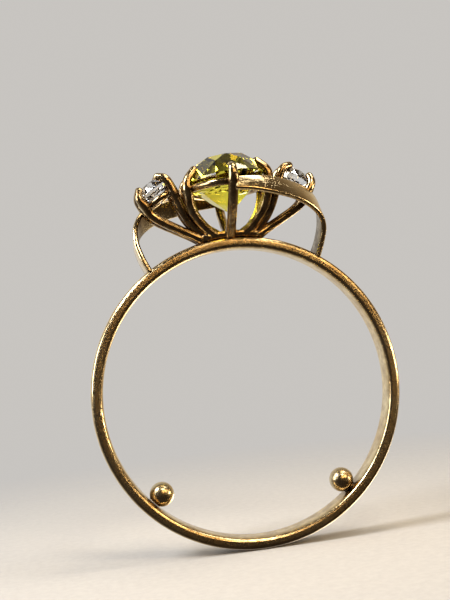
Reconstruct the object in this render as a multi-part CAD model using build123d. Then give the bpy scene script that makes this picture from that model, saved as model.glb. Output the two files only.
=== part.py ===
from build123d import *

import os
from math import atan2, cos, degrees, radians, sin, sqrt

# Three-stone engagement ring: a flat gold band, a wire basket holding an oval centre stone and
# two round side stones, two ribbon shoulders and two sizing beads.
#
# Millimetres. The origin is the centre of the finger hole, Y runs along the finger and Z goes up
# through the head. The claws on the front and back are mirror copies, the ribbon shoulders are
# half a turn about Z apart, and the centre stone sits a little askew.

os.makedirs("parts", exist_ok=True)

# Band; its seam is so many degrees round from the top, towards the right
FINGER_DIAMETER = 17.67
BAND_THICKNESS = 0.78
BAND_WIDTH = 1.8
BAND_EDGE_RADIUS = 0.20
BAND_SEAM_ANGLE = 60.0
INNER_RADIUS = FINGER_DIAMETER / 2
OUTER_RADIUS = INNER_RADIUS + BAND_THICKNESS

# Sizing beads, soldered inside the lower half of the band: degrees from its lowest point
BEAD_RADIUS = 0.75
BEAD_SINK = 0.04
BEAD_ANGLES = {"left": 46.5, "right": -41.0}

# Centre stone: an oval brilliant with its long axis along the finger, its right side higher
CENTRE_WIDTH = 5.0
CENTRE_LENGTH = 7.0
CENTRE_X = 0.08
CENTRE_GIRDLE_Z = 13.24
CENTRE_TILT = 3.2
CENTRE_CROWN = 1.31
CENTRE_PAVILION = 2.12

# Side stones: round brilliants leaning outwards
SIDE_DIAMETER = 2.2
SIDE_X = 4.50
SIDE_GIRDLE_Z = 12.95
SIDE_LEAN = 33.0
SIDE_CROWN = 0.48
SIDE_PAVILION = 0.98

# Facets of a brilliant: ring radii and girdle height as shares of the girdle radius, and the
# angles between neighbouring main facets and from a main facet to the break beside it
TABLE_SHARE = 0.60
STAR_SHARE = 0.80
LOWER_GIRDLE_SHARE = 0.40
GIRDLE_SHARE = 0.022
MAINS = 8
MAIN_ANGLE = 360 / MAINS
HALF_ANGLE = MAIN_ANGLE / 2

# Saddle plate on the band that the claws stand on
BASE_THICKNESS = 0.42
BASE_WIDTH = 1.6
BASE_LENGTH = 4.3

# Claws: wire radii, the corners of each claw's rise on the right at the back, and the end of
# each claw, outwards and upwards from its place on the girdle
CLAW_RADIUS = 0.30
SIDE_CLAW_RADIUS = 0.28
BEND_RADIUS = 0.33
END_CLAW_RISE = ((0.0, 0.55, 9.75), (0.0, 1.70, 10.55), (0.0, 3.10, 11.60))
CORNER_CLAW_RISE = ((0.85, 0.44, 9.75), (1.62, 0.72, 10.35), (2.36, 1.12, 11.45))
OUTER_CLAW_RISE = ((1.75, 0.38, 9.62), (3.25, 0.50, 10.42), (4.72, 0.62, 11.26))
INNER_CLAW_RISE = ((1.35, 0.38, 9.66), (2.62, 0.50, 10.85))
CORNER_CLAW_Y = 1.3
SIDE_CLAW_ANGLE = 38.0
CLAW_STAND_OFF = 0.21
CLAW_BELOW_GIRDLE = 0.38
CLAW_ABOVE_GIRDLE = 0.12
END_CLAW_TIP = (-0.12, 0.28)
CORNER_CLAW_TIP = (-0.38, 0.70)
SIDE_CLAW_TIP = (-0.18, 0.44)

# Gallery wires under the stones
RAIL_RADIUS = 0.24
CENTRE_RAIL_Z = 12.70
CENTRE_RAIL_AXES = (2.36, 3.12)
CENTRE_RAIL_END_RADIUS = 1.8
SIDE_RAIL_RADIUS = 0.19
SIDE_RAIL_MEAN_RADIUS = 0.90
SIDE_RAIL_DROP = 0.70

# Ribbon shoulder on the right, from its foot on the band to the front claw:
# centre of the section, direction of its width, width
RIBBON_THICKNESS = 0.38
RIBBON_EDGE_RADIUS = 0.10
RIBBON_STATIONS = [
    ((5.22, 0.00, 7.85), (-0.06, 0.99, 0.05), 1.80),
    ((5.62, -0.14, 8.85), (-0.04, 0.98, 0.08), 1.58),
    ((5.82, -0.42, 9.80), (0.00, 0.96, 0.20), 1.46),
    ((5.64, -0.90, 10.66), (0.12, 0.88, 0.44), 1.48),
    ((4.96, -1.55, 11.42), (0.18, 0.72, 0.68), 1.50),
    ((3.76, -2.30, 11.95), (0.06, 0.60, 0.80), 1.36),
    ((2.35, -3.00, 12.27), (0.03, 0.50, 0.86), 1.22),
    ((1.20, -3.40, 12.42), (0.03, 0.42, 0.90), 1.00),
    ((0.12, -3.62, 12.46), (0.01, 0.40, 0.92), 0.84),
]


def ring_point(radius, angle, height, scale):
    """A point at an angle in degrees on a ring around Z, stretched to the stone's outline."""
    turn = radians(angle)
    return Vector(radius * cos(turn) * scale[0], radius * sin(turn) * scale[1], height)


def ring_points(count, start, radius, height, scale):
    """Evenly spaced points on a ring around Z, the first at an angle of start degrees."""
    return [ring_point(radius, start + 360 * i / count, height, scale) for i in range(count)]


def main_height(near, far, radius):
    """Height at a radius on a main facet through two (radius, height) pairs; its kite is flat."""
    share = (radius * cos(radians(HALF_ANGLE)) - near[0]) / (far[0] - near[0])
    return near[1] + share * (far[1] - near[1])


def brilliant(half_width, half_length, crown, pavilion):
    """A faceted brilliant with its girdle on the XY plane and its table towards +Z."""
    scale = (half_width, half_length)
    girdle = GIRDLE_SHARE * half_width
    star_height = main_height((TABLE_SHARE, crown), (1.0, girdle), STAR_SHARE)
    break_height = main_height((0.0, -pavilion), (1.0, -girdle), LOWER_GIRDLE_SHARE)
    table = ring_points(MAINS, 0, TABLE_SHARE, crown, scale)
    stars = ring_points(MAINS, HALF_ANGLE, STAR_SHARE, star_height, scale)
    top = ring_points(2 * MAINS, 0, 1.0, girdle, scale)
    bottom = ring_points(2 * MAINS, 0, 1.0, -girdle, scale)
    breaks = ring_points(MAINS, HALF_ANGLE, LOWER_GIRDLE_SHARE, break_height, scale)
    culet = Vector(0, 0, -pavilion)

    outlines = [table]
    for i in range(MAINS):
        after = (i + 1) % MAINS
        main = 2 * i
        half = main + 1
        end = (main + 2) % (2 * MAINS)
        outlines += [
            [table[i], table[after], stars[i]],
            [table[i], stars[i - 1], top[main], stars[i]],
            [stars[i], top[main], top[half]],
            [stars[i], top[half], top[end]],
            [top[main], bottom[main], bottom[half], top[half]],
            [top[half], bottom[half], bottom[end], top[end]],
            [breaks[i], bottom[main], bottom[half]],
            [breaks[i], bottom[half], bottom[end]],
            [culet, breaks[i - 1], bottom[main], breaks[i]],
        ]
    faces = [Face(Wire.make_polygon(outline, close=True)) for outline in outlines]
    return Solid(Shell(faces))


def centre_place():
    """The place of the centre stone's girdle plane."""
    return Pos(CENTRE_X, 0, CENTRE_GIRDLE_Z) * Rot(0, -CENTRE_TILT, 0)


def side_place(side):
    """The place of a side stone's girdle plane; side is -1 on the left and 1 on the right."""
    return Pos(side * SIDE_X, 0, SIDE_GIRDLE_Z) * Rot(0, side * SIDE_LEAN, 0)


def make_centre_stone():
    """The oval stone in its place."""
    stone = brilliant(CENTRE_WIDTH / 2, CENTRE_LENGTH / 2, CENTRE_CROWN, CENTRE_PAVILION)
    return centre_place() * stone


def make_side_stone(side):
    """A round side stone in its place."""
    stone = brilliant(SIDE_DIAMETER / 2, SIDE_DIAMETER / 2, SIDE_CROWN, SIDE_PAVILION)
    return side_place(side) * stone


def make_band():
    """The plain band, a flat strip with softened edges."""
    section = Plane.YZ * Pos(0, (INNER_RADIUS + OUTER_RADIUS) / 2)
    section *= RectangleRounded(BAND_WIDTH, BAND_THICKNESS, BAND_EDGE_RADIUS)
    return Rot(0, BAND_SEAM_ANGLE, 0) * revolve(section, axis=Axis.Y)


def make_bead(angle, band):
    """A sizing bead at an angle from the bottom of the band, its foot fitted to the wall."""
    middle = INNER_RADIUS - BEAD_RADIUS + BEAD_SINK
    return Rot(0, angle, 0) * Pos(0, 0, -middle) * Sphere(BEAD_RADIUS) - band


def make_base():
    """The saddle plate on top of the band that every claw stands on."""
    outline = Plane.XZ * Circle(OUTER_RADIUS + BASE_THICKNESS)
    plate = extrude(outline, BASE_WIDTH / 2, both=True)
    plate -= extrude(Plane.XZ * Circle(OUTER_RADIUS), BASE_WIDTH, both=True)
    return plate & extrude(SlotOverall(BASE_LENGTH, BASE_WIDTH), 2 * OUTER_RADIUS)


def round_bar(points, radius):
    """A round wire bent at each point in turn, with a rounded far end."""
    path = FilletPolyline(*points, radius=BEND_RADIUS)
    section = Plane(origin=path @ 0, z_dir=path % 0) * Circle(radius)
    return sweep(section, path=path) + Pos(path @ 1) * Sphere(radius)


def claw_line(rise, side, back, place, girdle_point, outward, tip):
    """A claw's line: its rise from the base, then up past the girdle and over the crown.

    side is -1 on the left, and back is -1 at the front. girdle_point and outward are the claw's
    place on the girdle and the way it faces there, on the stone's own plane.
    """
    girdle = (place * Pos(*girdle_point)).position
    out = (place * Pos(*(girdle_point + outward))).position - girdle
    axis = (place * Pos(0, 0, 1)).position - place.position
    shoulder = girdle + out * CLAW_STAND_OFF
    points = [Vector(side * x, back * y, z) for x, y, z in rise]
    points.append(shoulder - axis * CLAW_BELOW_GIRDLE)
    points.append(shoulder + axis * CLAW_ABOVE_GIRDLE)
    points.append(girdle + out * tip[0] + axis * tip[1])
    return points


def end_claw_line(back):
    """The claw at one end of the oval stone; back is 1 for the back end and -1 for the front."""
    outward = Vector(0, back, 0)
    girdle_point = outward * (CENTRE_LENGTH / 2)
    return claw_line(END_CLAW_RISE, 1, back, centre_place(), girdle_point, outward, END_CLAW_TIP)


def corner_claw_line(side, back):
    """A side claw of the oval stone; side is 1 on the right, and back is 1 at the back."""
    half_width, half_length = CENTRE_WIDTH / 2, CENTRE_LENGTH / 2
    x = half_width * sqrt(1 - (CORNER_CLAW_Y / half_length) ** 2)
    girdle_point = Vector(side * x, back * CORNER_CLAW_Y, 0)
    outward = Vector(side * x / half_width**2, back * CORNER_CLAW_Y / half_length**2, 0)
    outward = outward.normalized()
    place = centre_place()
    return claw_line(CORNER_CLAW_RISE, side, back, place, girdle_point, outward, CORNER_CLAW_TIP)


def side_claw_line(side, back, reach):
    """A claw of a side stone; reach is 1 for the outer claw and -1 for the inner one."""
    turn = radians(SIDE_CLAW_ANGLE)
    outward = Vector(side * reach * cos(turn), back * sin(turn), 0)
    girdle_point = outward * (SIDE_DIAMETER / 2)
    rise = OUTER_CLAW_RISE if reach > 0 else INNER_CLAW_RISE
    return claw_line(rise, side, back, side_place(side), girdle_point, outward, SIDE_CLAW_TIP)


def make_centre_rail():
    """The oval gallery wire under the centre stone, bent from four arcs."""
    half_width, half_length = CENTRE_RAIL_AXES
    end_radius = CENTRE_RAIL_END_RADIUS
    end_y = half_length - end_radius
    side_radius = (half_width**2 + end_y**2 - end_radius**2) / (2 * (half_width - end_radius))
    side_x = side_radius - half_width
    side_angle = degrees(atan2(end_y, side_x))
    end_angle = 180 - 2 * side_angle
    arcs = [
        CenterArc((-side_x, 0), side_radius, -side_angle, 2 * side_angle),
        CenterArc((0, end_y), end_radius, side_angle, end_angle),
        CenterArc((side_x, 0), side_radius, 180 - side_angle, 2 * side_angle),
        CenterArc((0, -end_y), end_radius, 180 + side_angle, end_angle),
    ]
    path = Pos(0, 0, CENTRE_RAIL_Z) * Wire([arc.edge() for arc in arcs])
    section = Plane(origin=path @ 0, z_dir=path % 0) * Circle(RAIL_RADIUS)
    return sweep(section, path=path)


def make_side_rail(side):
    """The round gallery wire under a side stone."""
    rail = Torus(SIDE_RAIL_MEAN_RADIUS, SIDE_RAIL_RADIUS)
    return side_place(side) * Pos(0, 0, -SIDE_RAIL_DROP) * rail


def make_ribbon():
    """The flat ribbon shoulder, from its foot on the band to the front claw."""
    line = Spline(*[station[0] for station in RIBBON_STATIONS])
    sections = []
    for centre, across, width in RIBBON_STATIONS:
        along = line.tangent_at(line.param_at_point(centre))
        plane = Plane(origin=centre, x_dir=Vector(*across), z_dir=along)
        sections.append(plane * RectangleRounded(width, RIBBON_THICKNESS, RIBBON_EDGE_RADIUS))
    return loft(sections)


def cut_back(piece, others):
    """The piece with every neighbour it touches taken out of it."""
    for other in others:
        if piece.bounding_box().overlaps(other.bounding_box()):
            piece -= other
    return piece


def make_claws(pieces, bore):
    """The fourteen claws by name, each one cut back from whatever was there before it."""
    base = [bore, pieces["head_base"], pieces["centre_stone"], pieces["centre_rail"]]
    claws = {}
    for depth, back in (("front", -1), ("back", 1)):
        end = cut_back(round_bar(end_claw_line(back), CLAW_RADIUS), base)
        claws[f"centre_claw_{depth}"] = end
        for hand, side in (("left", -1), ("right", 1)):
            held = [*base, end, pieces[f"side_stone_{hand}"], pieces[f"side_rail_{hand}"]]
            for kind, line, radius in (
                ("centre_claw", corner_claw_line(side, back), CLAW_RADIUS),
                ("inner_claw", side_claw_line(side, back, -1), SIDE_CLAW_RADIUS),
                ("outer_claw", side_claw_line(side, back, 1), SIDE_CLAW_RADIUS),
            ):
                claw = cut_back(round_bar(line, radius), held)
                claws[f"{kind}_{hand}_{depth}"] = claw
                held.append(claw)
    return claws


def main():
    """Makes every piece, cut back to the faces where it meets its neighbours, and saves it."""
    pieces = {"band": make_band(), "head_base": make_base(), "centre_stone": make_centre_stone()}
    pieces["centre_rail"] = cut_back(make_centre_rail(), [pieces["centre_stone"]])
    for hand, side in (("left", -1), ("right", 1)):
        stone = make_side_stone(side)
        pieces[f"sizing_bead_{hand}"] = make_bead(BEAD_ANGLES[hand], pieces["band"])
        pieces[f"side_stone_{hand}"] = stone
        pieces[f"side_rail_{hand}"] = cut_back(make_side_rail(side), [stone])

    bore = extrude(Plane.XZ * Circle(OUTER_RADIUS), BASE_WIDTH, both=True)
    claws = make_claws(pieces, bore)
    near = [bore, pieces["centre_rail"], pieces["centre_stone"], *claws.values()]
    ribbon = make_ribbon()
    pieces["ribbon_right"] = cut_back(ribbon, near)
    pieces["ribbon_left"] = cut_back(Rot(0, 0, 180) * ribbon, near)
    for name, piece in {**pieces, **claws}.items():
        export_step(piece, f"parts/{name}.step")


main()
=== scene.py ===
from math import asin, atan2, cos, exp, pi, radians, sin, sqrt, tau

import bmesh
import bpy
from mathutils import Matrix, Vector


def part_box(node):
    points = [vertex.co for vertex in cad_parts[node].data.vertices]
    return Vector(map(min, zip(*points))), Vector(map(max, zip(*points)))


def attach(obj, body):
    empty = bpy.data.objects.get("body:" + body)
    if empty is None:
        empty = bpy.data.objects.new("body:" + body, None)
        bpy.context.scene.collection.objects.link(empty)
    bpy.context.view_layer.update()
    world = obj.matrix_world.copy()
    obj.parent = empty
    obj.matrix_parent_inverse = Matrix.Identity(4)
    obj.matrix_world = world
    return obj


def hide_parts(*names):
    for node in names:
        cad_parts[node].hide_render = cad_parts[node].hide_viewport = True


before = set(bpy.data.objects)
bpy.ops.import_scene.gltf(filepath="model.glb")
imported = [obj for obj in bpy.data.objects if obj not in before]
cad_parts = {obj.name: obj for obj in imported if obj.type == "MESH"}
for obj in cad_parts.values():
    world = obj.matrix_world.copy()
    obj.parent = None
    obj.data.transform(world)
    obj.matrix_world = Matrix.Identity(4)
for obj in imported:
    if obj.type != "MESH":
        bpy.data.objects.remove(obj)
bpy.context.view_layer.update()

MM = 0.001

# ---------------------------------------------------------------- driving sizes, in millimetres
# The ring stands on its lowest point. Y runs along the finger and Z goes up through the head.

BAND_LOW, BAND_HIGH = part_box("band")
BAND_WIDTH = (BAND_HIGH.y - BAND_LOW.y) / MM
OUTER_RADIUS = (BAND_HIGH.x - BAND_LOW.x) / 2 / MM
BAND_THICKNESS = 0.78
INNER_RADIUS = OUTER_RADIUS - BAND_THICKNESS
BAND_SQUARENESS = 4.0
BAND_STEPS = 320
BAND_SIDES = 56
# Shallow waves worn into the outside of the band: how many go round, their shift and depth
BAND_WEAR = ((3, 0.7, 0.012), (11, 0.0, 0.006))

BEAD_RADIUS = 0.75
BEAD_SINK = 0.04
BEAD_ROWS = 25
BEAD_SIDES = 48
# Solder under a bead, in heights from its centre towards the wall
BEAD_SOLDER_START = 0.42
BEAD_NECK_HEIGHT = 0.60
BEAD_NECK_RADIUS = 0.40
BEAD_NECK_FLARE = 0.9
BEAD_FOOT_HEIGHT = 0.66

CENTRE_HALF_WIDTH = 2.5
CENTRE_HALF_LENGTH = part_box("centre_stone")[1].y / MM
CENTRE_X = 0.08
CENTRE_GIRDLE_Z = 13.24
CENTRE_TILT = 3.2
CENTRE_CROWN = 1.31
CENTRE_PAVILION = 2.12

SIDE_X = 4.50
SIDE_GIRDLE_Z = 12.95
SIDE_LEAN = 33.0
SIDE_RADIUS = 1.1
SIDE_CROWN = 0.48
SIDE_PAVILION = 0.98

# Facets of a brilliant: the girdle's half thickness and the rings' radii as shares of the girdle
# radius, and the angles between neighbouring main facets and from one to the break beside it
GIRDLE_SHARE = 0.022
TABLE_SHARE = 0.60
STAR_SHARE = 0.80
LOWER_GIRDLE_SHARE = 0.40
MAINS = 8
MAIN_ANGLE = 360 / MAINS
HALF_ANGLE = MAIN_ANGLE / 2

# Claws: the corners of each one's rise on the right at the back, and the end of each claw,
# outwards and upwards from its place on the girdle
CLAW_RADIUS = 0.30
SIDE_CLAW_RADIUS = 0.28
END_CLAW_RISE = ((0.0, 0.55, 9.75), (0.0, 1.70, 10.55), (0.0, 3.10, 11.60))
CORNER_CLAW_RISE = ((0.85, 0.44, 9.75), (1.62, 0.72, 10.35), (2.36, 1.12, 11.45))
OUTER_CLAW_RISE = ((1.75, 0.38, 9.62), (3.25, 0.50, 10.42), (4.72, 0.62, 11.26))
INNER_CLAW_RISE = ((1.35, 0.38, 9.66), (2.62, 0.50, 10.85))
CORNER_CLAW_Y = 1.3
CLAW_STAND_OFF = 0.21
CLAW_BELOW_GIRDLE = 0.38
CLAW_ABOVE_GIRDLE = 0.12
END_CLAW_TIP = (-0.12, 0.28)
CORNER_CLAW_TIP = (-0.38, 0.70)
SIDE_CLAW_TIP = (-0.18, 0.44)
SIDE_CLAW_ANGLE = 38.0
INNER_SOLDER_Z = 12.6
OUTER_SOLDER_Z = 12.0
# A claw's thickness as shares of its radius: thinner at the tip, thicker at its solder
TAPER_START, TIP_TAPER = 0.75, 0.10
SOLDER_REACH, SOLDER_SWELL = 0.28, 0.16
FOOT_REACH, FOOT_SWELL = 0.10, 0.22
# How a wire's corners are rounded: how many times each is cut off, and at what share of its sides
CORNER_ROUNDS, CORNER_SHARE = 3, 0.25
WIRE_STEP = 0.05
WIRE_SIDES = 20
TIP_RINGS = 6
TIP_ANGLE = 88.0

RAIL_LOW, RAIL_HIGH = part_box("centre_rail")
RAIL_RADIUS = (RAIL_HIGH.z - RAIL_LOW.z) / 2 / MM
RAIL_Z = (RAIL_HIGH.z + RAIL_LOW.z) / 2 / MM
RAIL_AXES = (RAIL_HIGH.x / MM - RAIL_RADIUS, RAIL_HIGH.y / MM - RAIL_RADIUS)
CENTRE_RAIL_END_RADIUS = 1.8
CENTRE_RAIL_STEPS = 160
SIDE_RAIL_RADIUS = 0.19
SIDE_RAIL_MEAN_RADIUS = 0.90
SIDE_RAIL_DROP = 0.70
SIDE_RAIL_STEPS = 96

BASE_THICKNESS = 0.42
BASE_LENGTH = 4.3
BASE_WIDTH = 1.6
BASE_SINK = 0.01
BASE_STEPS = 48
# The plate's edge radius, at most its width over the limit; its round ends stop at a small flat
BASE_EDGE_RADIUS = 0.13
BASE_EDGE_LIMIT = 2.5
BASE_END_SQUARE = 0.03

RIBBON_THICKNESS = 0.38
RIBBON_EDGE_RADIUS = 0.12
# How far the outer face is crowned, the inner face's share of it, and the thickness kept for both
RIBBON_CROWN = 0.055
RIBBON_CROWN_INSIDE = 0.3
RIBBON_CROWN_ROOM = 0.07
RIBBON_STEPS = 14
# Faces that look towards the head by more than this cosine get the darker, duller gold, painted
# shade
RIBBON_SHADE_FACING = -0.35
# Ribbon shoulder on the right, from its foot on the band to the front claw:
# centre of the section, direction of its width, width
RIBBON_STATIONS = [
    ((5.22, 0.00, 7.85), (-0.06, 0.99, 0.05), 1.80),
    ((5.62, -0.14, 8.85), (-0.04, 0.98, 0.08), 1.58),
    ((5.82, -0.42, 9.80), (0.00, 0.96, 0.20), 1.46),
    ((5.64, -0.90, 10.66), (0.12, 0.88, 0.44), 1.48),
    ((4.96, -1.55, 11.42), (0.18, 0.72, 0.68), 1.50),
    ((3.76, -2.30, 11.95), (0.06, 0.60, 0.80), 1.36),
    ((2.35, -3.00, 12.27), (0.03, 0.50, 0.86), 1.22),
    ((1.20, -3.40, 12.42), (0.03, 0.42, 0.90), 1.00),
    ((0.12, -3.62, 12.46), (0.01, 0.40, 0.92), 0.84),
]

# Steps round each softened corner of a section
EDGE_STEPS = 4

FLOOR_RADIUS = 90
FLOOR_STEPS = 96

# Gold: clean, deeper, its worn brown film, and the dark of its hollows, grime with painted shade
LIGHT_GOLD = (0.90, 0.74, 0.45)
DEEP_GOLD = (0.78, 0.57, 0.28)
WORN_BROWN = (0.24, 0.140, 0.056)
GRIME_AND_SHADE = (0.10, 0.047, 0.018)

# ---------------------------------------------------------------- material helpers


class Nodes:
    """A small helper around one material's node tree. Its places are the object's, in metres."""

    def __init__(self, name):
        self.material = bpy.data.materials.new(name)
        self.material.use_nodes = True
        self.tree = self.material.node_tree
        self.shader = self.tree.nodes["Principled BSDF"]
        place = self.add("ShaderNodeTexCoord")
        self.place = place.outputs["Object"]
        self.normal = place.outputs["Normal"]

    def add(self, kind, **values):
        node = self.tree.nodes.new(kind)
        for key, value in values.items():
            setattr(node, key, value)
        return node

    def link(self, source, target):
        self.tree.links.new(source, target)

    def stretched(self, scale, turn):
        """Object coordinates, turned and scaled, so that one noise gives streaks."""
        mapping = self.add("ShaderNodeMapping")
        mapping.inputs["Scale"].default_value = scale
        mapping.inputs["Rotation"].default_value = turn
        self.link(self.place, mapping.inputs["Vector"])
        return mapping.outputs["Vector"]

    def noise(self, scale, detail=4.0, rough=0.55, vector=None):
        node = self.add("ShaderNodeTexNoise")
        node.inputs["Scale"].default_value = scale
        node.inputs["Detail"].default_value = detail
        node.inputs["Roughness"].default_value = rough
        self.link(self.place if vector is None else vector, node.inputs["Vector"])
        return node.outputs["Fac"]

    def ramp(self, source, low, high, first, last):
        """Maps low..high of a value to first..last, clamped."""
        node = self.add("ShaderNodeMapRange")
        node.inputs["From Min"].default_value = low
        node.inputs["From Max"].default_value = high
        node.inputs["To Min"].default_value = first
        node.inputs["To Max"].default_value = last
        self.link(source, node.inputs["Value"])
        return node.outputs["Result"]

    def maths(self, operation, one, two):
        node = self.add("ShaderNodeMath", operation=operation)
        for socket, value in zip(node.inputs, (one, two)):
            if isinstance(value, (int, float)):
                socket.default_value = value
            else:
                self.link(value, socket)
        return node.outputs["Value"]

    def mix(self, factor, one, two):
        """Mixes two colours, each a tuple or a socket."""
        node = self.add("ShaderNodeMix", data_type="RGBA")
        self.link(factor, node.inputs[0])
        for socket, value in ((node.inputs[6], one), (node.inputs[7], two)):
            if isinstance(value, tuple):
                socket.default_value = (*value, 1.0)
            else:
                self.link(value, socket)
        return node.outputs[2]

    def bump(self, height, distance, strength, after=None):
        node = self.add("ShaderNodeBump")
        node.inputs["Distance"].default_value = distance
        node.inputs["Strength"].default_value = strength
        self.link(height, node.inputs["Height"])
        if after is not None:
            self.link(after, node.inputs["Normal"])
        return node.outputs["Normal"]

    def set(self, **values):
        for key, value in values.items():
            self.shader.inputs[key.replace("_", " ")].default_value = value


def make_gold(name, polish, tarnish, brushed=0.0, shade=1.0):
    """Yellow gold: polish is its mean roughness, tarnish how strong its brown film and the grime
    and painted shade in its hollows are, brushed how rough and grainy the flat sides across the
    finger are, and shade how light its colours are."""
    n = Nodes(name)
    n.set(Metallic=1.0)
    facing = n.add("ShaderNodeSeparateXYZ")
    n.link(n.normal, facing.inputs[0])
    flat_side = n.ramp(n.maths("ABSOLUTE", facing.outputs["Y"], 0.0), 0.955, 0.999, 0.0, brushed)
    light, deep, brown = (
        tuple(shade * part for part in colour) for colour in (LIGHT_GOLD, DEEP_GOLD, WORN_BROWN)
    )
    cloud = n.noise(420.0, 5.0, 0.6)
    grain = n.noise(9000.0, 4.0, 0.75)
    scuff = n.noise(1500.0, 6.0, 0.7)
    colour = n.mix(n.ramp(cloud, 0.35, 0.68, 0.0, 1.0), light, deep)
    film = n.maths("MULTIPLY", n.ramp(scuff, 0.36, 0.62, 0.0, 1.0), tarnish)
    colour = n.mix(film, colour, brown)
    # Darker in the hollows that ambient occlusion finds: grime with painted shade
    hollow = n.add("ShaderNodeAmbientOcclusion", samples=4)
    hollow.inputs["Distance"].default_value = 0.0008
    grime_and_shade = n.ramp(hollow.outputs["AO"], 0.30, 0.92, 0.60 + 0.35 * tarnish, 0.0)
    colour = n.mix(grime_and_shade, colour, GRIME_AND_SHADE)
    n.link(colour, n.shader.inputs["Base Color"])

    long_way = n.noise(2600.0, 2.0, 0.5, n.stretched((1.0, 1.0, 22.0), (0.3, 0.8, 0.2)))
    cross_way = n.noise(2300.0, 2.0, 0.5, n.stretched((20.0, 1.0, 1.0), (1.1, 0.2, 0.7)))
    scratches = n.maths(
        "MAXIMUM", n.ramp(long_way, 0.60, 0.68, 0.0, 1.0), n.ramp(cross_way, 0.61, 0.69, 0.0, 1.0)
    )
    rough = n.ramp(scuff, 0.35, 0.7, polish * 0.7, polish * 1.5)
    rough = n.maths("ADD", rough, n.maths("MULTIPLY", scratches, 0.06))
    rough = n.maths("ADD", rough, n.maths("MULTIPLY", flat_side, 0.10))
    n.link(n.maths("ADD", rough, n.ramp(grain, 0.4, 0.65, 0.0, 0.05)), n.shader.inputs["Roughness"])

    waves = n.bump(n.noise(650.0, 2.0, 0.4), 0.00003, 0.45)
    marks = n.bump(scratches, 0.000003, 0.4, waves)
    fine = n.bump(grain, 0.0000018, 0.5, marks)
    coarse = n.maths("MULTIPLY", n.noise(3600.0, 6.0, 0.75), flat_side)
    n.link(n.bump(coarse, 0.000024, 1.0, fine), n.shader.inputs["Normal"])
    return n.material


def make_green_stone():
    """The oval stone: clear yellow-green with a faint uneven tint and a few fine veils."""
    n = Nodes("green_stone")
    n.set(Transmission_Weight=1.0, IOR=1.67)
    tint = n.ramp(n.noise(330.0, 3.0, 0.5), 0.35, 0.65, 0.0, 1.0)
    colour = n.mix(tint, (0.91, 0.88, 0.11), (0.94, 0.84, 0.07))
    veil = n.noise(1400.0, 5.0, 0.7, n.stretched((1.0, 3.0, 1.0), (0.4, 0.2, 0.9)))
    colour = n.mix(n.ramp(veil, 0.66, 0.76, 0.0, 0.5), colour, (0.62, 0.60, 0.20))
    n.link(colour, n.shader.inputs["Base Color"])
    n.link(n.ramp(veil, 0.55, 0.8, 0.0, 0.05), n.shader.inputs["Roughness"])
    wear = n.noise(9000.0, 2.0, 0.5)
    n.link(n.bump(wear, 0.0000008, 0.15), n.shader.inputs["Normal"])
    return n.material


def make_clear_stone():
    """The round side stones: nearly colourless, bright, with a few dark specks."""
    n = Nodes("clear_stone")
    n.set(Transmission_Weight=1.0, IOR=2.2)
    speck = n.ramp(n.noise(3800.0, 3.0, 0.6), 0.68, 0.76, 0.0, 0.6)
    n.link(n.mix(speck, (0.97, 0.97, 0.98), (0.45, 0.45, 0.46)), n.shader.inputs["Base Color"])
    n.link(n.ramp(n.noise(5200.0), 0.4, 0.8, 0.0, 0.03), n.shader.inputs["Roughness"])
    wear = n.noise(11000.0, 2.0, 0.5)
    n.link(n.bump(wear, 0.0000006, 0.12), n.shader.inputs["Normal"])
    return n.material


# ---------------------------------------------------------------- mesh helpers


def finish_piece(name, mesh_data, material, node, smooth=True):
    """Makes the piece from a bmesh in millimetres, riding the root in place of its CAD node."""
    bmesh.ops.scale(mesh_data, vec=(MM, MM, MM), verts=mesh_data.verts)
    bmesh.ops.recalc_face_normals(mesh_data, faces=mesh_data.faces)
    mesh = bpy.data.meshes.new(name)
    mesh_data.to_mesh(mesh)
    mesh_data.free()
    for polygon in mesh.polygons:
        polygon.use_smooth = smooth
    mesh.materials.append(material)
    piece = bpy.data.objects.new(name, mesh)
    bpy.context.scene.collection.objects.link(piece)
    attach(piece, "root")
    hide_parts(node)
    return piece


def rings_to_mesh(rings, closed=False):
    """Skins a row of equal-sized rings of points, with end caps unless the row is closed."""
    data = bmesh.new()
    rows = [[data.verts.new(point) for point in ring] for ring in rings]
    count = len(rows[0])
    pairs = list(zip(rows, rows[1:]))
    if closed:
        pairs.append((rows[-1], rows[0]))
    for one, two in pairs:
        for i in range(count):
            j = (i + 1) % count
            data.faces.new((one[i], one[j], two[j], two[i]))
    if not closed:
        data.faces.new(list(reversed(rows[0])))
        data.faces.new(rows[-1])
    return data


def rounded_outline(width, height, radius):
    """A rounded rectangle as (u, v) points, anticlockwise."""
    points = []
    corners = ((1, 1, 0), (-1, 1, 90), (-1, -1, 180), (1, -1, 270))
    for x_sign, y_sign, start in corners:
        centre = (x_sign * (width / 2 - radius), y_sign * (height / 2 - radius))
        for step in range(EDGE_STEPS + 1):
            turn = radians(start + 90 * step / EDGE_STEPS)
            points.append((centre[0] + radius * cos(turn), centre[1] + radius * sin(turn)))
    return points


def corner_cut(points):
    """A smooth line from a few corner points, its ends kept in place."""
    line = list(points)
    for _ in range(CORNER_ROUNDS):
        cut = [line[0]]
        for one, two in zip(line, line[1:]):
            cut.append(one.lerp(two, CORNER_SHARE))
            cut.append(one.lerp(two, 1 - CORNER_SHARE))
        cut.append(line[-1])
        line = cut
    return line


def evenly(line, step):
    """The line's points, spaced about one step apart."""
    lengths = [0.0]
    for one, two in zip(line, line[1:]):
        lengths.append(lengths[-1] + (two - one).length)
    count = max(4, round(lengths[-1] / step))
    spaced = []
    at = 0
    for i in range(count + 1):
        goal = lengths[-1] * i / count
        while at < len(lengths) - 2 and lengths[at + 1] < goal:
            at += 1
        span = max(lengths[at + 1] - lengths[at], 1e-9)
        spaced.append(line[at].lerp(line[at + 1], (goal - lengths[at]) / span))
    return spaced


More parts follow.
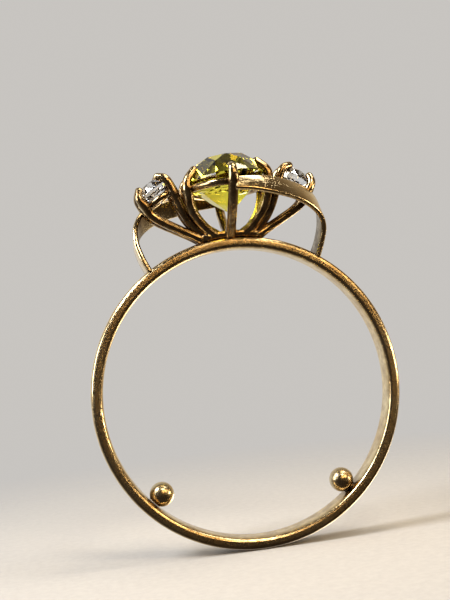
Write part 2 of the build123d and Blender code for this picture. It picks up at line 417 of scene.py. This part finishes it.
def tangents(line):
    """The line's direction at each of its points."""
    found = []
    last = len(line) - 1
    for i in range(len(line)):
        found.append((line[min(i + 1, last)] - line[max(i - 1, 0)]).normalized())
    return found


def wire_mesh(line, radius_at):
    """A round wire along a line, its far end rounded. radius_at gives its radius at a share of
    the length and a point."""
    directions = tangents(line)
    side = directions[0].orthogonal().normalized()
    rings = []
    count = len(line)
    for i, (point, direction) in enumerate(zip(line, directions)):
        side = (side - direction * side.dot(direction)).normalized()
        other = direction.cross(side)
        radius = radius_at(i / (count - 1), point)
        ring = []
        for k in range(WIRE_SIDES):
            turn = tau * k / WIRE_SIDES
            ring.append(point + side * (radius * cos(turn)) + other * (radius * sin(turn)))
        rings.append(ring)
    end, direction = line[-1], directions[-1]
    radius = radius_at(1.0, end)
    for step in range(1, TIP_RINGS + 1):
        turn = radians(TIP_ANGLE * step / TIP_RINGS)
        middle = end + direction * (radius * sin(turn))
        rings.append([middle + (p - end) * cos(turn) for p in rings[count - 1]])
    return rings_to_mesh(rings)


def bump_near(value, centre, width):
    """A smooth hump that is 1 at the centre and fades over the width."""
    return exp(-(((value - centre) / width) ** 2))


# ---------------------------------------------------------------- the band and its beads


def crowned_outline(width, height, squareness, count):
    """A rectangle with worn, crowned sides (a superellipse) as (u, v) points, anticlockwise."""
    points = []
    for i in range(count):
        turn = tau * (i + 0.5) / count
        u, v = cos(turn), sin(turn)
        size = (abs(u) ** squareness + abs(v) ** squareness) ** (-1 / squareness)
        points.append((width / 2 * u * size, height / 2 * v * size))
    return points


def make_band(material):
    """The flat strip bent round, its sides crowned and its outside a little uneven from wear."""
    outline = crowned_outline(BAND_WIDTH, BAND_THICKNESS, BAND_SQUARENESS, BAND_SIDES)
    middle = INNER_RADIUS + BAND_THICKNESS / 2
    rings = []
    for i in range(BAND_STEPS):
        turn = tau * i / BAND_STEPS
        wear = sum(depth * (1 + sin(waves * turn + shift)) / 2 for waves, shift, depth in BAND_WEAR)
        ring = []
        for across, out in outline:
            radius = middle + out - (wear if out > 0 else 0)
            ring.append(Vector((radius * sin(turn), across, radius * cos(turn))))
        rings.append(ring)
    finish_piece("band_strip", rings_to_mesh(rings, True), material, "band")


def make_bead(hand, material):
    """A sizing bead with the solder that runs from its foot onto the wall."""
    low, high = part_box(f"sizing_bead_{hand}")
    centre = (low + high) / 2 / MM
    out = Vector((centre.x, 0, centre.z)).normalized()
    centre = out * (INNER_RADIUS - BEAD_RADIUS + BEAD_SINK)
    side = Vector((0, 1, 0))
    other = out.cross(side)
    rings = []
    for i in range(1, BEAD_ROWS):
        turn = radians(180 * i / BEAD_ROWS)
        height = -BEAD_RADIUS * cos(turn)
        radius = BEAD_RADIUS * sin(turn)
        if height > BEAD_SOLDER_START:
            neck = BEAD_NECK_RADIUS + BEAD_NECK_FLARE * (height - BEAD_NECK_HEIGHT) ** 2
            radius = max(radius, neck)
        height = min(height, BEAD_FOOT_HEIGHT)
        ring = []
        for k in range(BEAD_SIDES):
            spin = tau * k / BEAD_SIDES
            ring.append(
                centre + out * height + side * (radius * cos(spin)) + other * (radius * sin(spin))
            )
        rings.append(ring)
    finish_piece(
        f"bead_{hand}", rings_to_mesh(rings), material, f"sizing_bead_{hand}"
    )


# ---------------------------------------------------------------- the stones


def brilliant(half_width, half_length, crown, pavilion):
    """A faceted brilliant as a bmesh, its girdle on the XY plane."""
    girdle = GIRDLE_SHARE * half_width

    def at(radius, angle, height):
        turn = radians(angle)
        return Vector((radius * cos(turn) * half_width, radius * sin(turn) * half_length, height))

    def on_main(near_radius, near_height, far_radius, far_height, radius):
        share = (radius * cos(radians(HALF_ANGLE)) - near_radius) / (far_radius - near_radius)
        return near_height + share * (far_height - near_height)

    star_height = on_main(TABLE_SHARE, crown, 1.0, girdle, STAR_SHARE)
    break_height = on_main(0.0, -pavilion, 1.0, -girdle, LOWER_GIRDLE_SHARE)
    data = bmesh.new()

    def row(count, start, radius, height):
        angles = [start + 360 * i / count for i in range(count)]
        return [data.verts.new(at(radius, angle, height)) for angle in angles]

    tables = row(MAINS, 0, TABLE_SHARE, crown)
    stars = row(MAINS, HALF_ANGLE, STAR_SHARE, star_height)
    top = row(2 * MAINS, 0, 1.0, girdle)
    bottom = row(2 * MAINS, 0, 1.0, -girdle)
    breaks = row(MAINS, HALF_ANGLE, LOWER_GIRDLE_SHARE, break_height)
    culet = data.verts.new(Vector((0, 0, -pavilion)))
    data.faces.new(tables)
    for i in range(MAINS):
        after, main = (i + 1) % MAINS, 2 * i
        half, end = main + 1, (main + 2) % (2 * MAINS)
        for corners in (
            (tables[i], tables[after], stars[i]),
            (tables[i], stars[i - 1], top[main], stars[i]),
            (stars[i], top[main], top[half]),
            (stars[i], top[half], top[end]),
            (top[main], bottom[main], bottom[half], top[half]),
            (top[half], bottom[half], bottom[end], top[end]),
            (breaks[i], bottom[main], bottom[half]),
            (breaks[i], bottom[half], bottom[end]),
            (culet, breaks[i - 1], bottom[main], breaks[i]),
        ):
            data.faces.new(corners)
    return data


def centre_matrix():
    """The place of the centre stone, its right side a little the higher."""
    tilt = Matrix.Rotation(radians(-CENTRE_TILT), 4, "Y")
    return Matrix.Translation((CENTRE_X, 0, CENTRE_GIRDLE_Z)) @ tilt


def side_matrix(side):
    """The place of a side stone; side is -1 on the left and 1 on the right."""
    lean = Matrix.Rotation(radians(side * SIDE_LEAN), 4, "Y")
    return Matrix.Translation((side * SIDE_X, 0, SIDE_GIRDLE_Z)) @ lean


def make_stones(green, clear):
    """The oval centre stone and the two round side stones."""
    data = brilliant(CENTRE_HALF_WIDTH, CENTRE_HALF_LENGTH, CENTRE_CROWN, CENTRE_PAVILION)
    data.transform(centre_matrix())
    finish_piece("oval_stone", data, green, "centre_stone", smooth=False)
    for hand, side in (("left", -1), ("right", 1)):
        data = brilliant(SIDE_RADIUS, SIDE_RADIUS, SIDE_CROWN, SIDE_PAVILION)
        data.transform(side_matrix(side))
        node = f"side_stone_{hand}"
        finish_piece(f"round_stone_{hand}", data, clear, node, smooth=False)


# ---------------------------------------------------------------- the wire basket


def claw_line(rise, side, back, place, girdle_point, outward, tip):
    """A claw's line: its rise from the base, then up past the girdle and over the crown.

    side is -1 on the left, and back is -1 at the front. girdle_point and outward are the claw's
    place on the girdle and the way it faces there, on the stone's own plane.
    """
    girdle = place @ girdle_point
    turned = place.to_3x3()
    out, axis = turned @ outward, turned @ Vector((0, 0, 1))
    shoulder = girdle + out * CLAW_STAND_OFF
    points = [Vector((side * x, back * y, z)) for x, y, z in rise]
    points.append(shoulder - axis * CLAW_BELOW_GIRDLE)
    points.append(shoulder + axis * CLAW_ABOVE_GIRDLE)
    points.append(girdle + out * tip[0] + axis * tip[1])
    return points


def end_claw_line(back):
    """The claw at one end of the oval stone; back is 1 for the back end and -1 for the front."""
    outward = Vector((0, back, 0))
    girdle_point = outward * CENTRE_HALF_LENGTH
    return claw_line(END_CLAW_RISE, 1, back, centre_matrix(), girdle_point, outward, END_CLAW_TIP)


def corner_claw_line(side, back):
    """A side claw of the oval stone; side is 1 on the right, and back is 1 at the back."""
    x = CENTRE_HALF_WIDTH * sqrt(1 - (CORNER_CLAW_Y / CENTRE_HALF_LENGTH) ** 2)
    outward = Vector(
        (side * x / CENTRE_HALF_WIDTH**2, back * CORNER_CLAW_Y / CENTRE_HALF_LENGTH**2, 0)
    )
    outward.normalize()
    point = Vector((side * x, back * CORNER_CLAW_Y, 0))
    place = centre_matrix()
    return claw_line(CORNER_CLAW_RISE, side, back, place, point, outward, CORNER_CLAW_TIP)


def side_claw_line(side, back, reach):
    """A claw of a side stone; reach is 1 for the outer claw and -1 for the inner one."""
    turn = radians(SIDE_CLAW_ANGLE)
    outward = Vector((side * reach * cos(turn), back * sin(turn), 0))
    girdle_point = outward * SIDE_RADIUS
    rise = OUTER_CLAW_RISE if reach > 0 else INNER_CLAW_RISE
    return claw_line(rise, side, back, side_matrix(side), girdle_point, outward, SIDE_CLAW_TIP)


def make_claw(name, node, points, radius, solder_z, material):
    """A claw: a smooth wire, thicker where it is soldered and thinner at its tip."""
    line = evenly(corner_cut(points), WIRE_STEP)

    def radius_at(share, point):
        taper = 1.0 - TIP_TAPER * max(0.0, share - TAPER_START) / (1 - TAPER_START)
        solder = SOLDER_SWELL * bump_near(point.z, solder_z, SOLDER_REACH)
        foot = FOOT_SWELL * bump_near(share, 0.0, FOOT_REACH)
        return radius * (taper + solder + foot)

    finish_piece(name, wire_mesh(line, radius_at), material, node)


def make_claws(material):
    """The six centre claws and the eight side claws, each one piece."""
    for depth, back in (("front", -1), ("back", 1)):
        node = f"centre_claw_{depth}"
        make_claw(f"claw_{depth}", node, end_claw_line(back), CLAW_RADIUS, RAIL_Z, material)
        for hand, side in (("left", -1), ("right", 1)):
            for kind, points, radius, solder in (
                ("centre_claw", corner_claw_line(side, back), CLAW_RADIUS, RAIL_Z),
                ("inner_claw", side_claw_line(side, back, -1), SIDE_CLAW_RADIUS, INNER_SOLDER_Z),
                ("outer_claw", side_claw_line(side, back, 1), SIDE_CLAW_RADIUS, OUTER_SOLDER_Z),
            ):
                node = f"{kind}_{hand}_{depth}"
                make_claw(f"wire_{node}", node, points, radius, solder, material)


def wire_ring(point, out, radius):
    """A circle of points round a level wire, at a point where out leads away from its middle."""
    ring = []
    for k in range(WIRE_SIDES):
        spin = tau * k / WIRE_SIDES
        ring.append(point + out * (radius * cos(spin)) + Vector((0, 0, radius * sin(spin))))
    return ring


def make_centre_rail(material):
    """The oval gallery wire under the centre stone, bent from four arcs."""
    half_width, half_length = RAIL_AXES
    end_y = half_length - CENTRE_RAIL_END_RADIUS
    spare = half_width**2 + end_y**2 - CENTRE_RAIL_END_RADIUS**2
    side_radius = spare / (2 * (half_width - CENTRE_RAIL_END_RADIUS))
    side_x = side_radius - half_width
    joint = atan2(end_y, side_x)
    rings = []
    for i in range(CENTRE_RAIL_STEPS):
        turn = tau * i / CENTRE_RAIL_STEPS
        quarter = atan2(abs(sin(turn)), abs(cos(turn)))
        if quarter < joint:
            middle, reach = Vector((-side_x, 0, RAIL_Z)), side_radius
        else:
            middle, reach = Vector((0, end_y, RAIL_Z)), CENTRE_RAIL_END_RADIUS
        out = Vector((cos(quarter), sin(quarter), 0))
        signs = Vector((1 if cos(turn) >= 0 else -1, 1 if sin(turn) >= 0 else -1, 1))
        rings.append(wire_ring((middle + out * reach) * signs, out * signs, RAIL_RADIUS))
    finish_piece("rail_centre", rings_to_mesh(rings, True), material, "centre_rail")


def make_side_rail(hand, side, material):
    """The round gallery wire under a side stone."""
    place = side_matrix(side) @ Matrix.Translation((0, 0, -SIDE_RAIL_DROP))
    rings = []
    for i in range(SIDE_RAIL_STEPS):
        turn = tau * i / SIDE_RAIL_STEPS
        out = Vector((cos(turn), sin(turn), 0))
        ring = wire_ring(out * SIDE_RAIL_MEAN_RADIUS, out, SIDE_RAIL_RADIUS)
        rings.append([place @ point for point in ring])
    data = rings_to_mesh(rings, True)
    finish_piece(f"rail_{hand}", data, material, f"side_rail_{hand}")


def make_base(material):
    """The saddle plate, rounded at its ends, that the claws stand on."""
    half = asin(BASE_LENGTH / 2 / (OUTER_RADIUS + BASE_THICKNESS))
    middle = OUTER_RADIUS + BASE_THICKNESS / 2 - BASE_SINK
    rings = []
    for i in range(BASE_STEPS + 1):
        share = -cos(pi * i / BASE_STEPS)
        turn = half * share
        end_part = max(0.0, abs(share) * half * OUTER_RADIUS - (BASE_LENGTH - BASE_WIDTH) / 2)
        width = BASE_WIDTH * sqrt(max(BASE_END_SQUARE, 1 - (2 * end_part / BASE_WIDTH) ** 2))
        out = Vector((sin(turn), 0, cos(turn)))
        ring = []
        radius = min(BASE_EDGE_RADIUS, width / BASE_EDGE_LIMIT)
        for across, up in rounded_outline(width, BASE_THICKNESS, radius):
            ring.append(out * (middle + up) + Vector((0, across, 0)))
        rings.append(ring)
    finish_piece("base_plate", rings_to_mesh(rings), material, "head_base")


# ---------------------------------------------------------------- the ribbon shoulders


def smooth_between(stations, steps):
    """Points along a smooth line through every station (Catmull-Rom), with the other values."""
    rows = [Vector((*centre, *across, width)) for centre, across, width in stations]
    rows = [rows[0] * 2 - rows[1], *rows, rows[-1] * 2 - rows[-2]]
    found = []
    for i in range(1, len(rows) - 2):
        before, one, two, after = rows[i - 1 : i + 3]
        for step in range(steps):
            t = step / steps
            found.append(
                0.5
                * (
                    2 * one
                    + (two - before) * t
                    + (2 * before - 5 * one + 4 * two - after) * t**2
                    + (3 * one - before - 3 * two + after) * t**3
                )
            )
    found.append(rows[-2])
    return found


def make_ribbon(hand, material, shaded_inside):
    """A flat ribbon with softened edges, a slightly crowned outer face and a dull inner one,
    darkened as painted shade.
    """
    rows = smooth_between(RIBBON_STATIONS, RIBBON_STEPS)
    thickness = RIBBON_THICKNESS - RIBBON_CROWN_ROOM
    line = [Vector(row[0:3]) for row in rows]
    rings = []
    for row, point, direction in zip(rows, line, tangents(line)):
        across = Vector(row[3:6])
        across = (across - direction * across.dot(direction)).normalized()
        face = direction.cross(across)
        width = row[6]
        ring = []
        for u, v in rounded_outline(width, thickness, RIBBON_EDGE_RADIUS):
            crown = RIBBON_CROWN * (1 - (2 * u / width) ** 2)
            lift = crown if v > 0 else -crown * RIBBON_CROWN_INSIDE
            ring.append(point + across * u + face * (v + lift))
        rings.append(ring)
    data = rings_to_mesh(rings)
    if hand == "left":
        data.transform(Matrix.Rotation(pi, 4, "Z"))
    ribbon = finish_piece(f"shoulder_{hand}", data, material, f"ribbon_{hand}")
    ribbon.data.materials.append(shaded_inside)
    head = Vector((0, 0, CENTRE_GIRDLE_Z - CENTRE_PAVILION)) * MM
    # Faces that look towards the head get the darker gold as painted shade
    for polygon in ribbon.data.polygons:
        if polygon.normal.dot((polygon.center - head).normalized()) < RIBBON_SHADE_FACING:
            polygon.material_index = 1


# ---------------------------------------------------------------- light, floor and camera


def make_floor():
    """A pale floor under the ring that fades into the pale surroundings."""
    data = bmesh.new()
    radius = FLOOR_RADIUS * MM
    centre = data.verts.new((0, 0, BAND_LOW.z))
    edge = []
    for i in range(FLOOR_STEPS):
        turn = tau * i / FLOOR_STEPS
        edge.append(data.verts.new((radius * cos(turn), radius * sin(turn), BAND_LOW.z)))
    for i in range(FLOOR_STEPS):
        data.faces.new((centre, edge[i], edge[(i + 1) % FLOOR_STEPS]))
    mesh = bpy.data.meshes.new("floor")
    data.to_mesh(mesh)
    data.free()
    n = Nodes("floor")
    fibre = n.noise(2200.0, 6.0, 0.65)
    n.link(
        n.mix(n.ramp(fibre, 0.35, 0.65, 0.0, 1.0), (0.53, 0.515, 0.50), (0.58, 0.565, 0.545)),
        n.shader.inputs["Base Color"],
    )
    n.set(Roughness=0.85)
    n.link(n.bump(fibre, 0.00003, 0.5), n.shader.inputs["Normal"])
    distance = n.add("ShaderNodeVectorMath", operation="LENGTH")
    n.link(n.place, distance.inputs[0])
    n.link(n.ramp(distance.outputs["Value"], 0.014, 0.055, 1.0, 0.0), n.shader.inputs["Alpha"])
    mesh.materials.append(n.material)
    floor = bpy.data.objects.new("floor", mesh)
    bpy.context.scene.collection.objects.link(floor)
    floor.visible_glossy = False


def make_world():
    """Pale surroundings seen directly, and a brighter, more varied room seen in reflections."""
    world = bpy.data.worlds.new("room")
    bpy.context.scene.world = world
    world.use_nodes = True
    tree = world.node_tree
    tree.nodes.clear()
    add, link = tree.nodes.new, tree.links.new
    place = add("ShaderNodeTexCoord")
    turn = add("ShaderNodeSeparateXYZ")
    link(place.outputs["Generated"], turn.inputs[0])

    def ramp(socket, stops):
        node = add("ShaderNodeValToRGB")
        remap = add("ShaderNodeMapRange")
        remap.inputs["From Min"].default_value = -1.0
        link(socket, remap.inputs["Value"])
        link(remap.outputs["Result"], node.inputs["Fac"])
        elements = node.color_ramp.elements
        while len(elements) < len(stops):
            elements.new(0.5)
        for element, (position, colour) in zip(elements, stops):
            element.position = (position + 1) / 2
            element.color = (*colour, 1.0)
        return node.outputs["Color"]

    depth = ramp(
        turn.outputs["Y"],
        [
            (-1.0, (0.030, 0.023, 0.018)),
            (-0.5, (0.040, 0.031, 0.024)),
            (0.0, (0.075, 0.062, 0.050)),
            (0.3, (0.22, 0.20, 0.175)),
            (0.6, (0.62, 0.60, 0.565)),
            (1.0, (0.80, 0.78, 0.74)),
        ],
    )
    side = ramp(
        turn.outputs["X"],
        [
            (-1.0, (1.15, 1.2, 1.28)),
            (-0.2, (1.0, 1.0, 1.0)),
            (0.5, (0.8, 0.72, 0.6)),
            (1.0, (1.1, 0.9, 0.62)),
        ],
    )
    room = add("ShaderNodeMix")
    room.data_type = "RGBA"
    room.blend_type = "MULTIPLY"
    room.inputs[0].default_value = 1.0
    link(depth, room.inputs[6])
    link(side, room.inputs[7])
    light = add("ShaderNodeBackground")
    link(room.outputs[2], light.inputs["Color"])
    light.inputs["Strength"].default_value = 1.0
    seen = add("ShaderNodeBackground")
    seen.inputs["Color"].default_value = (0.575, 0.555, 0.530, 1.0)
    ray = add("ShaderNodeLightPath")
    both = add("ShaderNodeMixShader")
    link(ray.outputs["Is Camera Ray"], both.inputs[0])
    link(light.outputs[0], both.inputs[1])
    link(seen.outputs[0], both.inputs[2])
    out = add("ShaderNodeOutputWorld")
    link(both.outputs[0], out.inputs["Surface"])


def add_light(name, place, size, power, colour):
    """A soft square light at a place in millimetres, aimed at the ring's head."""
    light = bpy.data.lights.new(name, "AREA")
    light.shape = "SQUARE"
    light.size = size * MM
    light.energy = power
    light.color = colour
    lamp = bpy.data.objects.new(name, light)
    lamp.location = Vector(place) * MM
    aim = Vector((0, 0, 6)) * MM - lamp.location
    lamp.rotation_euler = aim.to_track_quat("-Z", "Y").to_euler()
    bpy.context.scene.collection.objects.link(lamp)
    lamp.visible_camera = False


def make_lights():
    """Two windows on the left, small lamps that glint on the gold, and a glow from below."""
    add_light("window", (-95, -30, 105), 50, 0.17, (0.95, 0.97, 1.0))
    add_light("side_window", (-118, -10, 34), 56, 0.07, (1.0, 0.98, 0.95))
    add_light("warm_lamp", (110, -30, 5), 24, 0.04, (1.0, 0.82, 0.58))
    add_light("ceiling", (35, -6, 130), 34, 0.055, (1.0, 0.83, 0.60))
    add_light("front_lamp", (24, -88, 108), 36, 0.048, (1.0, 0.90, 0.72))
    add_light("shoulder_lamp", (62, -18, 115), 24, 0.028, (1.0, 0.96, 0.90))
    add_light("low_gold_lamp", (16, -106, 54), 26, 0.016, (1.0, 0.62, 0.24))
    add_light("gold_lamp", (64, -74, 50), 34, 0.024, (1.0, 0.70, 0.36))
    add_light("low_glow", (40, 60, -40), 40, 0.03, (1.0, 0.86, 0.62))


# In degrees and millimetres; the last two are how far the ring's near face is from the view's axis
CAMERA_LENS = 59.1
CAMERA_AZIMUTH = -7.8
CAMERA_ELEVATION = -2.0
CAMERA_ROLL = 6.3
CAMERA_DISTANCE = 60.2
RING_RIGHT_OF_AXIS = 1.46
RING_BELOW_AXIS = 5.63


def make_camera():
    """A camera almost along the finger, rolled a little, with the ring low and right in view."""
    data = bpy.data.cameras.new("camera")
    data.lens = CAMERA_LENS
    data.sensor_width = 36.0
    data.clip_start = 0.001
    data.clip_end = 10.0
    camera = bpy.data.objects.new("camera", data)
    turn, rise = radians(CAMERA_AZIMUTH), radians(CAMERA_ELEVATION)
    back = Vector((sin(turn) * cos(rise), -cos(turn) * cos(rise), sin(rise)))
    level = (-back).to_track_quat("-Z", "Y").to_matrix()
    roll = level @ Matrix.Rotation(radians(-CAMERA_ROLL), 3, "Z")
    right, up = roll.col[0], roll.col[1]
    near_centre = Vector((0, -BAND_WIDTH / 2, 0))
    aim = near_centre - right * RING_RIGHT_OF_AXIS + up * RING_BELOW_AXIS
    place = (aim + back * CAMERA_DISTANCE) * MM
    camera.matrix_world = Matrix.Translation(place) @ roll.to_4x4()
    bpy.context.scene.collection.objects.link(camera)
    bpy.context.scene.camera = camera


# ---------------------------------------------------------------- everything together

BAND_GOLD = make_gold("band_gold", 0.15, 0.55, 1.0)
HEAD_GOLD = make_gold("head_gold", 0.14, 0.95, 0.0, 0.92)
SHOULDER_GOLD = make_gold("shoulder_gold", 0.13, 0.25)
# The ribbons' inner faces: a darker, duller copy of the gold, painted shade
SHADED_INSIDE_GOLD = make_gold("shaded_inside_gold", 0.26, 0.9, 0.0, 0.38)
BEAD_GOLD = make_gold("bead_gold", 0.20, 0.35, 0.0, 0.82)

make_band(BAND_GOLD)
for bead_hand in ("left", "right"):
    make_bead(bead_hand, BEAD_GOLD)
make_stones(make_green_stone(), make_clear_stone())
make_claws(HEAD_GOLD)
make_centre_rail(HEAD_GOLD)
for rail_hand, rail_side in (("left", -1), ("right", 1)):
    make_side_rail(rail_hand, rail_side, HEAD_GOLD)
make_base(HEAD_GOLD)
for ribbon_hand in ("left", "right"):
    make_ribbon(ribbon_hand, SHOULDER_GOLD, SHADED_INSIDE_GOLD)
make_floor()
make_world()
make_lights()
make_camera()
bpy.context.scene.view_settings.view_transform = "Standard"
